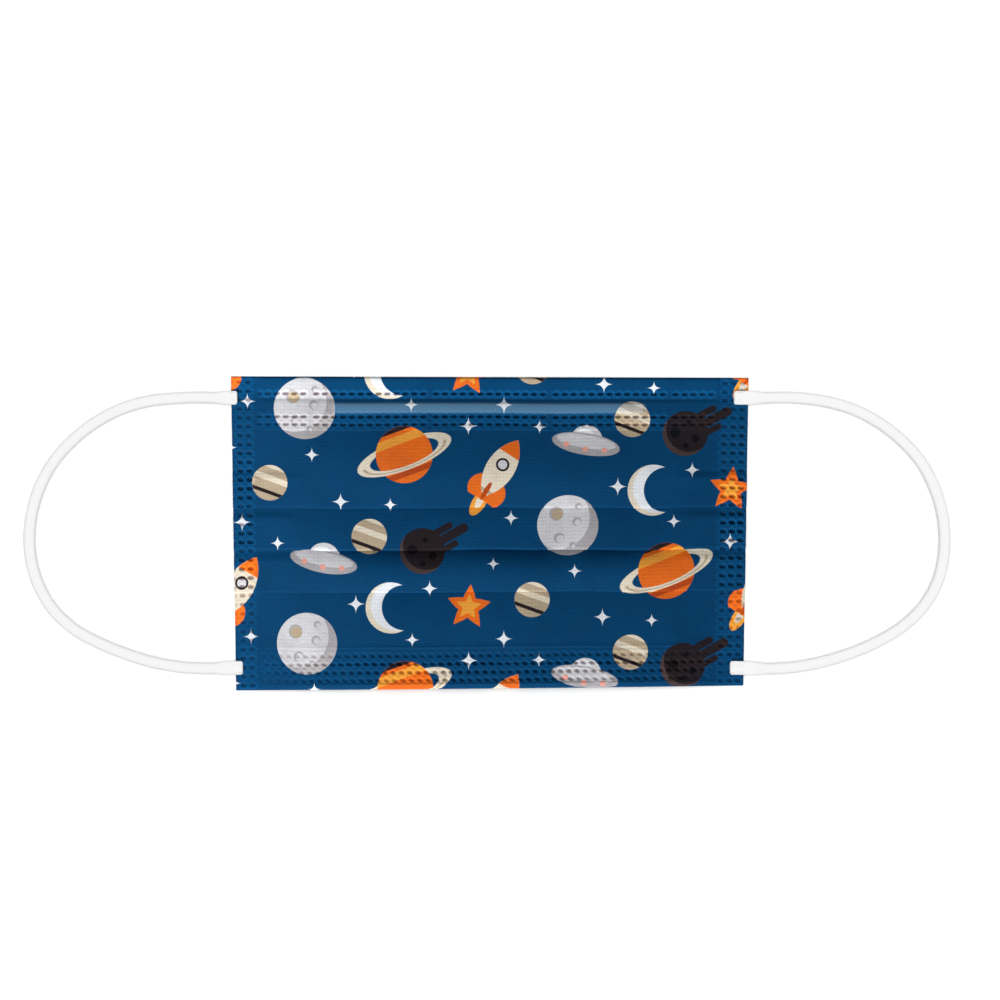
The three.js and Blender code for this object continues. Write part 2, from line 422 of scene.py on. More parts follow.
# The smooth strips along the outer edges, and the rise of the nose one. The strips are also painted
# lighter, as a painted highlight.
NOSE_STRIP = (38.2, 39)
CHIN_STRIP = (-42.7, -43.3)
STRIP_RISE = 0.4
STRIP_SLOPE = (38, 43.2)
# Each crease along a hem: its height, its place and its width.
CHIN_CREASE = -42.6
CREASES = ((-0.32, 37.7, 0.55), (0.16, NOSE_SEAM + 0.35, 0.3), (0.18, CHIN_CREASE, 0.28),
           (0.1, CHIN_SEAM + 0.2, 0.35))
CREASE_ENDS = (SIDE_FROM - 2, SIDE_FROM + 1)


def wire_ridge(x, y):
    """1 over the nose wire and 0 beside it, with a steep wall at each border and soft ends."""
    off = np.abs(y - WIRE_Y) - RIDGE_WIDTH / 2
    return (1 - ramp(off, -RIDGE_WALL / 2, RIDGE_WALL / 2)) * (1 - ramp(np.abs(x), *RIDGE_ENDS))


def ridge_height(ridge, y):
    """The ridge's height: its wall's share times a crown, 1 + dome (1 - t^2) of the way out."""
    out = np.clip((y - WIRE_Y) / (RIDGE_WIDTH / 2), -1, 1)
    return RIDGE * ridge * (1 + RIDGE_DOME * (1 - out ** 2))


def hem_lines(x, y):
    """Height of the thin creases pressed along the hems, as bell curves, and of the nose strip."""
    lines = STRIP_RISE * ramp(y, *STRIP_SLOPE)
    for height, place, width in CREASES:
        lines = lines + height * hump(y, place, width)
    return lines * (1 - ramp(np.abs(x), *CREASE_ENDS))


def fused_share(x):
    """0 where the layers lie loose, 1 in the welded strips at the sides."""
    return ramp(np.abs(x), LOOSE_INSIDE, FUSED_OUTSIDE)


def squeeze(x, y, separate):
    """What heights are multiplied by: puffed in the middle, pressed at hems, welds and pits.

    A pass that lies hidden in a pleat has separate at 0: it takes a groove for each column of
    pits, and so stays below every pit of the pass over it.
    """
    middle = np.maximum(ramp(HALF_HEIGHT - np.abs(y), *PUFF_FROM_HEM), ramp(y, *PUFF_AT_CHIN))
    spread = ramp(HALF_WIDTH - np.abs(x), *PUFF_FROM_SIDE)
    loose = mixed(HEM_SQUEEZE, 1 + PUFF * spread, middle)
    loose = loose * (1 + LOOSE_SWAY * middle * ripples(x, y, *LOOSE_WAVES))
    pucker = ripples(PUCKER_DRAWN * x, y, *PUCKER_WAVES) * hump(np.abs(x), *PUCKER_BAND)
    loose = loose * (1 + PUCKER * pucker * middle)
    base = mixed(loose, FUSED_SQUEEZE, fused_share(x))
    pressed, lip = weld_marks(x, y, separate)
    return base * (1 - PRESS_DEPTH * pressed + LIP_HEIGHT * lip)


def arch(x, y):
    """How far the mask stands off the floor, 0 at its corners.

    It is a low dome with gentle waves, and a slight upward curl of the middle of the chin edge.
    """
    inward = np.clip(1 - (x / HALF_WIDTH) ** 2, 0, 1)
    dome = inward * np.clip(1 - (y / (HALF_HEIGHT + 1)) ** 2, 0, 1)
    curl = CHIN_CURL * inward * ramp(y, *CURL_ROWS)
    return ARCH * dome * (1 + ARCH_SWAY * ripples(x, y, *ARCH_WAVES)) + curl


def settled(x, y, z, separate=1):
    """Where a point of the evenly stacked mask comes to lie, in metres.

    Heights are scaled about GRIP by squeeze and raised by arch; fold lines wander a little
    along the mask, and the outline narrows towards the chin with slightly sloping hems.
    """
    high = GRIP + (z - GRIP) * squeeze(x, y, separate) + arch(x, y)
    share = y / HALF_HEIGHT
    wander = WANDER * ripples(x, WANDER_DRAWN * y, *FOLD_WAVES) * (1 - share ** 2)
    slope = mixed(CHIN_SLOPE, NOSE_SLOPE, (share + 1) / 2)
    return np.stack(np.broadcast_arrays(
        x * (1 + TAPER * share), y + wander + slope * x / HALF_WIDTH, high), -1) * MM


# ---------- the cloth's line through its folds

TURN_STEPS = 9
ROW_STEP = 0.5
CHIN_STEP = 0.3
NOSE_STEP = 0.4
FLAP_STEP = 0.45
HIDDEN_STEP = 2.2
ROW_OFFSETS = (-0.8, -0.52, -0.36, 0, 0.36, 0.52, 0.8)
SIDE_ROWS = np.arange(-17, 18) * PIT_PITCH
NOSE_FEATURES = [row for row, _ in NOSE_ROWS] + [WIRE_Y - RIDGE_WIDTH / 2, WIRE_Y + RIDGE_WIDTH / 2]
CHIN_FEATURES = [row for row, _ in CHIN_ROWS] + [CHIN_CREASE]


def stretch(y, loose, fused, printed=None, front=1, separate=1):
    """Rows of one straight run of the cloth's line.

    Each row holds y, the height when loose, the height when fused, the place on the print,
    whether the hem's creases show there and whether its pits are separate.
    """
    printed = y if printed is None else printed
    return np.column_stack(np.broadcast_arrays(y, loose, fused, printed, front, separate))


def turn(tip, towards, loose, fused, reach, printed=None, separate=(1, 1)):
    """Rows of a half ellipse from one height to another, whose outer skin touches the tip."""
    angle = np.linspace(-np.pi / 2, np.pi / 2, TURN_STEPS)[1:-1]
    y = tip + towards * (reach * (np.cos(angle) - 1) - CLOTH / 2)
    share = (np.sin(angle) + 1) / 2
    places = y if printed is None else mixed(*printed, angle / np.pi + 0.5)
    return stretch(y, mixed(*loose, share), mixed(*fused, share), places, 0,
                   mixed(*separate, share))


def swell(y, start, end, low, panel):
    """Height of a loose panel: 1 - (1 - t)^power of the way up, plus a half sine of bulge."""
    t = np.clip((y - start) / (end - start), 0, 1)
    rise = (panel["crest"] - low) * (1 - (1 - t) ** panel["power"])
    return low + rise + panel["bulge"] * np.sin(np.pi * t)


def rows_between(start, end, features, widest):
    """Row places from start to end, close together where welds and creases need them."""
    offsets = ROW_OFFSETS if widest < HIDDEN_STEP else ()
    return lines_through(start, end, features, offsets, widest)


def nose_line():
    """The hem at the nose: up the back flap, round the edge and down the front to the seam."""
    root = HALF_HEIGHT - HEM_REACH - CLOTH / 2
    flap = rows_between(NOSE_FLAP_END, root, NOSE_FEATURES, FLAP_STEP)
    front = rows_between(root, NOSE_SEAM, NOSE_FEATURES, NOSE_STEP)
    edge_print = (HALF_HEIGHT + 1, HALF_HEIGHT)
    return np.vstack([
        stretch(flap, FLAP_LEVEL, FLAP_LEVEL, 2 * HALF_HEIGHT + 1 - flap, 0),
        turn(HALF_HEIGHT, 1, (FLAP_LEVEL, NOSE_LEVEL), (FLAP_LEVEL, HEM_FUSED), HEM_REACH,
             edge_print),
        stretch(front, NOSE_LEVEL, HEM_FUSED),
    ])


def chin_line():
    """The hem at the chin: down the front from the seam, round the edge and up the back flap."""
    root = -HALF_HEIGHT + HEM_REACH + CLOTH / 2
    front = rows_between(CHIN_SEAM, root, CHIN_FEATURES, CHIN_STEP)
    flap = rows_between(root, CHIN_FLAP_END, CHIN_FEATURES, FLAP_STEP)
    edge_print = (-HALF_HEIGHT, -HALF_HEIGHT - 1)
    return np.vstack([
        stretch(front, CHIN_LEVEL + CHIN_TILT * ramp(-front, -CHIN_SEAM, -root), HEM_FUSED),
        turn(-HALF_HEIGHT, -1, (CHIN_LEVEL + CHIN_TILT, FLAP_LEVEL), (HEM_FUSED, FLAP_LEVEL),
             HEM_REACH, edge_print),
        stretch(flap, FLAP_LEVEL, FLAP_LEVEL, -2 * HALF_HEIGHT - 1 - flap, 0),
    ])


def pleat_line(start, end, back_step):
    """The middle of the mask: down the front, with a fold under and back at each pleat.

    Pits are separate on a back pass too if its rows are close enough to show them.
    """
    separate = float(back_step < HIDDEN_STEP)
    runs = []
    inset = FOLD_REACH + CLOTH / 2
    top = start
    low = None
    for pleat in PLEATS:
        edge = pleat["edge"]
        crest = edge + inset
        y = rows_between(top, crest, SIDE_ROWS, ROW_STEP)
        if low is None:
            loose = swell(y, NOSE_SEAM, crest, NOSE_LEVEL, pleat)
            fused = mixed(HEM_FUSED, TOP_FUSED, ramp(y, *NOSE_CHANGE))
        else:
            loose = swell(y, top, crest, low, pleat)
            fused = mixed(LOW_FUSED, TOP_FUSED, ramp(y - top, *FOLD_CHANGE))
        low = pleat["low"]
        inner = edge + FOLD_DEPTH - inset
        hidden = lines_through(crest, inner, [], [], HIDDEN_STEP)[1:-1]
        back = rows_between(inner, edge, SIDE_ROWS, back_step)
        runs += [
            stretch(y, loose, fused),
            turn(edge, -1, (pleat["crest"], pleat["middle"]), (TOP_FUSED, MIDDLE_FUSED),
                 FOLD_REACH, separate=(1, 0)),
            stretch(hidden, pleat["middle"], MIDDLE_FUSED, front=0, separate=0),
            turn(edge + FOLD_DEPTH, 1, (pleat["middle"], low), (MIDDLE_FUSED, LOW_FUSED),
                 FOLD_REACH, separate=(0, separate)),
            stretch(back[:-1], low, LOW_FUSED, front=0, separate=separate),
        ]
        top = edge
    y = rows_between(top, end, SIDE_ROWS, ROW_STEP)
    loose = swell(y, top, CHIN_SEAM, low, LAST_PANEL)
    fused = mixed(LOW_FUSED, HEM_FUSED, ramp(y, *CHIN_CHANGE))
    return np.vstack(runs + [stretch(y, loose, fused)])


# ---------- meshes from grids

SHARP_ANGLE = 1.2
BAKE_SPAN = (0.01, 0.99)
BAKE_UPPER = (0.99, 0.09)
BAKE_LOWER = (0.07, 0.03)
BAKE_RIM = (0.018, 0.006)


def packed(values):
    """The values in one row, in the form that Blender stores."""
    return np.ascontiguousarray(values, dtype=np.float32).ravel()


def write_mesh(name, vertices, faces, caps=()):
    """A mesh object at the origin from arrays of vertices in metres and four-sided faces."""
    mesh = bpy.data.meshes.new(name)
    corners = np.concatenate([faces.ravel()] + [np.asarray(cap) for cap in caps])
    sizes = np.concatenate([np.full(len(faces), 4), [len(cap) for cap in caps]]).astype(int)
    mesh.vertices.add(len(vertices))
    mesh.vertices.foreach_set("co", packed(vertices))
    mesh.loops.add(len(corners))
    mesh.loops.foreach_set("vertex_index", corners.astype(np.int32))
    mesh.polygons.add(len(sizes))
    mesh.polygons.foreach_set("loop_start", (np.cumsum(sizes) - sizes).astype(np.int32))
    mesh.update(calc_edges=True)
    mesh.validate()
    mesh.polygons.foreach_set("use_smooth", np.ones(len(sizes), bool))
    mesh.set_sharp_from_angle(angle=SHARP_ANGLE)
    return linked_object(name, mesh), corners


def tube(name, points):
    """A tube from rings of points in metres, closed by a flat cap at each end."""
    rings, sides = points.shape[:2]
    number = np.arange(rings * sides).reshape(rings, sides)
    onward = np.roll(number, -1, axis=1)
    faces = np.stack([number[:-1], onward[:-1], onward[1:], number[1:]], -1).reshape(-1, 4)
    return write_mesh(name, points.reshape(-1, 3), faces, (number[0, ::-1], number[-1]))


def put_map(piece, name, corner_values):
    """Stores one two-number value a face corner as a named UV map."""
    layer = piece.data.uv_layers.new(name=name)
    layer.data.foreach_set("uv", packed(corner_values))


def put_value(piece, name, values):
    """Stores one number a vertex as a named attribute."""
    layer = piece.data.attributes.new(name, "FLOAT", "POINT")
    layer.data.foreach_set("value", packed(values))


def shell(name, upper, lower, printed, marks):
    """A closed sheet from its upper and lower grids of points, joined round the rim.

    The print map carries the print's own millimetres. The bake map lays the upper grid over
    most of the square, the lower grid in a strip and the rim in a line below it.
    """
    rows, columns = upper.shape[:2]
    count = rows * columns
    number = np.arange(count).reshape(rows, columns)
    top = np.stack([number[:-1, :-1], number[1:, :-1], number[1:, 1:], number[:-1, 1:]], -1)
    top = top.reshape(-1, 4)
    rim = np.concatenate([number[:-1, 0], number[-1, :-1], number[:0:-1, -1], number[0, :0:-1]])
    onward = np.roll(rim, -1)
    wall = np.column_stack([onward, rim, rim + count, onward + count])
    faces = np.concatenate([top, top[:, ::-1] + count, wall])
    vertices = np.concatenate([upper.reshape(-1, 3), lower.reshape(-1, 3)])
    piece, corners = write_mesh(name, vertices, faces)
    put_map(piece, "Print", np.tile(printed.reshape(-1, 2), (2, 1))[corners])
    put_map(piece, "OFBake", bake_places(upper, corners, len(rim)))
    for key, values in marks.items():
        put_value(piece, key, np.tile(values.ravel(), 2))
    return piece


def bake_places(upper, corners, rim_count):
    """Places on the bake square, by distance along the grid's middle row and column."""
    rows, columns = upper.shape[:2]
    lines = (upper[rows // 2], upper[:, columns // 2])
    runs = [np.cumsum(np.linalg.norm(np.diff(line, axis=0), axis=1)) for line in lines]
    u, v = np.meshgrid(*(np.append(0, run) / run[-1] for run in runs))
    u = mixed(*BAKE_SPAN, u)
    grids = [np.stack([u, mixed(*band, v)], -1).reshape(-1, 2) for band in (BAKE_UPPER, BAKE_LOWER)]
    places = np.concatenate(grids)[corners]
    share = np.arange(rim_count) / rim_count
    onward = share + 1 / rim_count
    u = np.stack([onward, share, share, onward], -1)
    rim = np.stack(np.broadcast_arrays(u, np.repeat(BAKE_RIM, 2)), -1)
    places[-4 * rim_count:] = mixed(*BAKE_SPAN, rim.reshape(-1, 2))
    return places


def cloth_piece(name, line, columns, layer, material):
    """A closed sheet that follows the cloth's line, between a layer's two offsets from it.

    The line's heights blend from loose to fused across the width. The offsets run along the
    normal of that curve, and both faces are then settled where the mask lies.
    """
    x = columns[None, :]
    y, loose, fused, printed, front, separate = (column[:, None] for column in line.T)
    ridge = front * wire_ridge(x, y)
    z = mixed(loose, fused, fused_share(x)) + ridge_height(ridge, y) + front * hem_lines(x, y)
    y = np.broadcast_to(y, z.shape)
    dy = np.gradient(y, axis=0)
    dz = np.gradient(z, axis=0)
    length = np.hypot(dy, dz)
    across, up = dz / length, -dy / length
    faces = [settled(x, y + across * off, z + up * off, separate) for off in layer]
    pressed, lip = weld_marks(x, y, separate)
    # The strip mask carries the painted highlight on the smooth edge strips.
    strip = front * np.maximum(ramp(y, *NOSE_STRIP), ramp(y, *CHIN_STRIP))
    prints = np.stack(np.broadcast_arrays(x, printed), -1)
    piece = shell(name, *faces, prints,
                  {"pressed": pressed, "lip": lip, "ridge": ridge, "strip": strip})
    piece.data.materials.append(material)
    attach(piece, "root")
    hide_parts("pleated_panel")


# ---------- materials

class Field:
    """A number that changes over a surface; its arithmetic adds Math nodes to a recipe."""

    def __init__(self, recipe, socket):
        self.recipe = recipe
        self.socket = socket

    def __add__(self, other):
        return self.recipe.maths("ADD", self, other)

    def __sub__(self, other):
        return self.recipe.maths("SUBTRACT", self, other)

    def __mul__(self, other):
        return self.recipe.maths("MULTIPLY", self, other)

    def __neg__(self):
        return self * -1

    def size(self):
        return self.recipe.maths("ABSOLUTE", self)

    def between(self, low, high):
        """0 below low, 1 above high and a smooth step between."""
        limits = {"Value": self, "From Min": low, "From Max": high}
        made = self.recipe.node("ShaderNodeMapRange", limits, interpolation_type="SMOOTHSTEP")
        return Field(self.recipe, made.outputs["Result"])


class Place:
    """A point on the cloth, in millimetres; moving, turning or folding it adds vector nodes."""

    def __init__(self, recipe, socket):
        self.recipe = recipe
        self.socket = socket
        self.split = None

    def vector(self, operation, *others):
        return Place(self.recipe, self.recipe.vector(operation, self, *others))

    def moved(self, x, y):
        return self.vector("SUBTRACT", (x, y, 0))

    def turned(self, degrees):
        turn_back = {"Vector": self, "Angle": -float(np.radians(degrees))}
        made = self.recipe.node("ShaderNodeVectorRotate", turn_back, rotation_type="Z_AXIS")
        return Place(self.recipe, made.outputs["Vector"])

    def stretched(self, along, across):
        return self.vector("DIVIDE", (along, across, 1))

    def folded(self):
        return self.vector("ABSOLUTE")

    def above(self):
        return self.vector("MAXIMUM", (0, 0, 0))

    def repeated(self, width, height):
        """The place from the nearest repeat's middle, each column half a height below the last."""
        column = self.recipe.maths("ROUND", self.x * (1 / width))
        feeds = {"X": self.x, "Y": self.y - column * (height / 2)}
        made = self.recipe.node("ShaderNodeCombineXYZ", feeds)
        shifted = Place(self.recipe, made.outputs["Vector"])
        return shifted.vector("WRAP", (width / 2, height / 2, 1), (-width / 2, -height / 2, -1))

    def length(self):
        return Field(self.recipe, self.recipe.vector("LENGTH", self))

    def axis(self, letter):
        if self.split is None:
            self.split = self.recipe.node("ShaderNodeSeparateXYZ", {"Vector": self})
        return Field(self.recipe, self.split.outputs[letter])

    x = property(lambda self: self.axis("X"))
    y = property(lambda self: self.axis("Y"))


class Recipe:
    """A material under way, with nodes added in the order in which they are used."""

    def __init__(self, name):
        self.material = bpy.data.materials.new(name)
        self.material.use_nodes = True
        self.tree = self.material.node_tree
        self.tree.nodes.clear()
        self.colour = None

    def node(self, kind, feeds=(), **settings):
        """A new node with these settings, its named inputs fed with sockets or constants."""
        made = self.tree.nodes.new(kind)
        for key, value in settings.items():
            setattr(made, key, value)
        for name in feeds:
            self.feed(made.inputs[name], feeds[name])
        return made

    def feed(self, socket, value):
        if isinstance(value, (Field, Place)):
            value = value.socket
        if isinstance(value, bpy.types.NodeSocket):
            self.tree.links.new(value, socket)
        else:
            socket.default_value = value

    def maths(self, operation, *values, clamp=False):
        feeds = dict(enumerate(values))
        made = self.node("ShaderNodeMath", feeds, operation=operation, use_clamp=clamp)
        return Field(self, made.outputs[0])

    def vector(self, operation, *values):
        made = self.node("ShaderNodeVectorMath", dict(enumerate(values)), operation=operation)
        return made.outputs["Value" if operation == "LENGTH" else "Vector"]

    def map(self, name):
        return Place(self, self.node("ShaderNodeUVMap", uv_map=name).outputs["UV"])

    def own_place(self):
        """The point in the piece's own coordinates, which are metres."""
        return Place(self, self.node("ShaderNodeTexCoord").outputs["Object"])

    def attribute(self, name):
        return Field(self, self.node("ShaderNodeAttribute", attribute_name=name).outputs["Fac"])

    def noise(self, place, scale, detail, roughness):
        made = self.node("ShaderNodeTexNoise", {
            "Vector": place, "Scale": scale, "Detail": detail, "Roughness": roughness})
        return Field(self, made.outputs["Fac"])

    def blend(self, share, first, second, kind="MIX"):
        feeds = {"Factor": share, "A": first, "B": second}
        made = self.node("ShaderNodeMix", feeds, data_type="RGBA", blend_type=kind)
        return made.outputs["Result"]

    def luminance(self, colour):
        return Field(self, self.node("ShaderNodeRGBToBW", {"Color": colour}).outputs["Val"])

    def paint(self, distance, colour):
        """Lays a colour wherever the distance is below 0, with a narrow soft edge."""
        share = self.maths("MULTIPLY_ADD", distance, -1 / INK_EDGE, 0.5, clamp=True)
        self.colour = self.blend(share, self.colour, ink(colour))

    def finish(self, colour, roughness, height, bump, specular):
        """The surface's shader: colour, roughness, how strongly it shines, and a bump."""
        lift = self.node("ShaderNodeBump", {
            "Strength": bump, "Distance": BUMP_DEPTH * MM, "Height": height})
        shader = self.node("ShaderNodeBsdfPrincipled", {
            "Base Color": colour, "Roughness": roughness, "Specular IOR Level": specular,
            "Normal": lift.outputs["Normal"]})
        self.node("ShaderNodeOutputMaterial", {"Surface": shader.outputs["BSDF"]})
        return self.material


def ink(colour):
    """A colour in 0-255 screen values as a shader's linear colour, dulled by the cloth."""
    share = np.array(colour, float) / 255
    linear = np.where(share <= 0.04045, share / 12.92, ((share + 0.055) / 1.055) ** 2.4)
    return (*(CLOTH_DULLS * linear).tolist(), 1)


INK_EDGE = 0.12
CLOTH_DULLS = 0.86
BUMP_DEPTH = 0.1
NAVY = (3, 63, 105)
NAVY_CLOUD = (6, 30, 60)
ORANGE = (226, 106, 30)
AMBER = (232, 156, 58)
RUST = (178, 72, 22)
CHARCOAL = (36, 29, 31)
SOOT = (18, 14, 16)
ASH = (72, 58, 56)
PALE_GREY = (204, 204, 208)
MID_GREY = (166, 163, 166)
CREAM = (222, 212, 192)
WHITE = (226, 230, 236)
TAUPE = (179, 162, 137)
PINK = (230, 160, 148)
# The next colour is a painted highlight for the wire's ridge.
WIRE_PAINTED_HIGHLIGHT = (164, 220, 255)
LINING = (236, 238, 240)
LINING_FIBRE = (222, 225, 229)
LINING_DOT = (205, 210, 216)
LINING_PRESSED = (190, 196, 204)
COAT = (232, 234, 236)
COAT_DRAWN = (214, 217, 220)
# Linear colours: those of the loops and the floor, then those that multiply the print. The loops'
# second colour is a painted shade between the wales; the print's last two multipliers are painted
# highlights on the pits' lips and on the edge strips.
YARN = (0.775, 0.775, 0.78, 1)
YARN_PAINTED_SHADE = (0.72, 0.72, 0.73, 1)
YARN_PRESSED = (0.62, 0.625, 0.64, 1)
PAPER = (0.93, 0.93, 0.93, 1)
FIBRE_SHADE = (0.55, 0.55, 0.55, 1)
PRESSED_SHADE = (0.58, 0.44, 0.46, 1)
PALE_PRESSED_SHADE = (0.4, 0.34, 0.37, 1)
LIP_PAINTED_HIGHLIGHT = (1.75, 1.7, 1.65, 1)
STRIP_PAINTED_HIGHLIGHT = (1.28, 1.28, 1.28, 1)
# The print's repeat: its width and its height.
REPEAT = (74, 66)


def both(first, second):
    """Inside both shapes: the larger of their distances."""
    return first.recipe.maths("MAXIMUM", first, second)


def disc(place, radius):
    return place.length() - radius


def oval(place, along, across):
    """Rough distance to an ellipse of the given half lengths."""
    return (place.stretched(along, across).length() - 1) * min(along, across)


def bar(place, along, across):
    """Distance to a bar with round ends, of the given half lengths."""
    return place.folded().moved(along - across, 0).above().length() - across


def star(place, reach, points=5):
    """Distance-like value of a star: its rim falls from reach at the tips to under half between."""
    recipe = place.recipe
    angle = recipe.maths("ARCTAN2", place.y, place.x)
    share = (recipe.maths("FRACT", angle * (points / (2 * np.pi))) - 0.5).size()
    rim = recipe.maths("DIVIDE", reach, share * -2.3 + 2.15)
    return (place.length() - rim) * 0.7


def glint(place, reach):
    """Four-pointed glint: the square of the summed roots of |x| and |y|, less its reach."""
    recipe = place.recipe
    corner = place.folded()
    roots = recipe.maths("SQRT", corner.x) + recipe.maths("SQRT", corner.y)
    return (roots * roots - reach) * 0.6


# Each motif paints its shapes in order, at places in millimetres from its own middle.

def ringed_planet(recipe, place):
    place = place.turned(20)
    body = disc(place, 8)
    ring = (place.stretched(14, 4.4).length() - 0.86).size()
    band = (ring - 0.13) * 4.4
    gap = (ring - 0.03) * 4.4
    recipe.paint(band, CREAM)
    recipe.paint(body, ORANGE)
    recipe.paint(both(body, (place.y - 4.4).size() - 1.2), AMBER)
    recipe.paint(both(body, (place.y + 5.2).size() - 0.8), RUST)
    recipe.paint(both(body, (place.y - 7.4).size() - 0.7), CHARCOAL)
    recipe.paint(both(band, place.y), CREAM)
    recipe.paint(both(gap, place.y), TAUPE)


def moon(recipe, place):
    body = disc(place, 8.6)
    recipe.paint(body, PALE_GREY)
    recipe.paint(both(body, -disc(place.moved(-2.6, 2.2), 8.8)), MID_GREY)
    craters = ((-3.2, 3.4, 2), (2.6, 1, 1.3), (-2.4, -3.6, 1.5), (3, 5.4, 1), (1.4, -5.6, 0.9))
    for x, y, radius in craters:
        recipe.paint(disc(place.moved(x, y), radius), MID_GREY)
        recipe.paint(disc(place.moved(x + 0.25, y - 0.25), radius - 0.4),
                     TAUPE if radius > 1.8 else PALE_GREY)


def rocket(recipe, place):
    place = place.turned(-32)
    recipe.paint(oval(place.moved(0, -11.4), 1.9, 4.2), AMBER)
    recipe.paint(oval(place.moved(0, -10.6), 1, 2.6), CREAM)
    recipe.paint(both(oval(place.moved(0, -7.4), 5.6, 4.6), -(place.y + 10.4)), ORANGE)
    hull = both(disc(place.moved(9.2, 0), 13.2), disc(place.moved(-9.2, 0), 13.2))
    hull = both(hull, -(place.y + 8.6))
    recipe.paint(hull, CREAM)
    recipe.paint(both(hull, -(place.y - 4.6)), ORANGE)
    recipe.paint(both(hull, (place.y + 7.6).size() - 0.5), TAUPE)
    recipe.paint(disc(place.moved(0, 1.2), 1.9), CHARCOAL)
    recipe.paint(disc(place.moved(0, 1.2), 1.3), PALE_GREY)
    recipe.paint(oval(place.moved(0, -7.6), 0.7, 2.9), RUST)


def meteor(recipe, place):
    place = place.turned(28)
    for y, reach, radius in ((2.6, 11, 1), (0, 14.5, 1.3), (-2.6, 10, 0.9)):
        recipe.paint(bar(place.moved(reach / 2, y), reach / 2, radius), CHARCOAL)
    body = disc(place, 6.4)
    recipe.paint(body, CHARCOAL)
    recipe.paint(both(body, -disc(place.moved(1.6, 0.6), 6.6)), ASH)
    for x, y, radius in ((-2.4, 1.6, 1.5), (1.8, -2.6, 1.1), (2.2, 2.4, 0.8), (-1.6, -3.2, 0.8)):
        recipe.paint(disc(place.moved(x, y), radius), SOOT)


def saucer(recipe, place):
    place = place.turned(-10)
    recipe.paint(both(disc(place.moved(0, 0.8), 4.6), -(place.y - 0.4)), PALE_GREY)
    recipe.paint(both(disc(place.moved(-0.7, 1.3), 3), -(place.y - 0.9)), WHITE)
    recipe.paint(oval(place, 9.6, 3.1), MID_GREY)
    recipe.paint(oval(place.moved(0, 0.7), 8.4, 1.9), PALE_GREY)
    for x, y in ((-5.4, -0.9), (0, -1.5), (5.4, -0.9)):
        recipe.paint(disc(place.moved(x, y), 0.8), PINK)


def crescent(recipe, place):
    place = place.turned(-24)
    shape = both(disc(place, 7.2), -disc(place.moved(3.4, 1.6), 6.4))
    recipe.paint(shape, WHITE)
    recipe.paint(both(shape, -disc(place.moved(0.9, 1), 7)), CREAM)


def small_planet(recipe, place):
    place = place.turned(-20)
    body = disc(place, 5)
    recipe.paint(body, TAUPE)
    recipe.paint(both(body, (place.y - 1.2).size() - 0.8), CREAM)
    recipe.paint(both(body, (place.y + 2.6).size() - 0.5), CHARCOAL)
    recipe.paint(both(body, -(place.y - 4)), CREAM)


def big_star(recipe, place):
    place = place.turned(12)
    recipe.paint(star(place, 6.4), ORANGE)
    recipe.paint(star(place, 3.6), AMBER)


# Each motif's and each glint's place in the repeat, and each glint's reach.
MOTIFS = (
    (ringed_planet, -24, 22), (rocket, 3, 18), (saucer, 27, 25), (moon, 22, 2),
    (meteor, -19, -5), (small_planet, -34, -1), (crescent, -28, -21), (big_star, -6, -21),
    (small_planet, 12, -19),
)
GLINTS = (
    (-6, 30, 2.8), (14, 30, 2.2), (36, 13, 2.8), (6, 4, 2.4), (-28, 8, 2.1), (-17, -15.5, 2.5),
    (-22, -30, 2.2), (4, -30, 2.7), (24, -11, 2.3), (32, -24, 2.7), (1, -9, 2),
)


def nonwoven_relief(recipe, place):
    """Height of the cloth's surface: fine laid fibres and a lattice of tiny bonded dots."""
    grain = {"scale": 1.6, "detail": 3, "roughness": 0.65}
    fibres = recipe.noise(place.stretched(3.2, 0.7), **grain)
    crossing = recipe.noise(place.turned(64).stretched(2.6, 0.6), **grain)
    waves = place.turned(45).vector("MULTIPLY", (4.4, 4.4, 0)).vector("SINE")
    dots = (waves.x * waves.y).between(0.35, 0.85)
    return fibres + crossing - dots * 0.9, fibres, dots


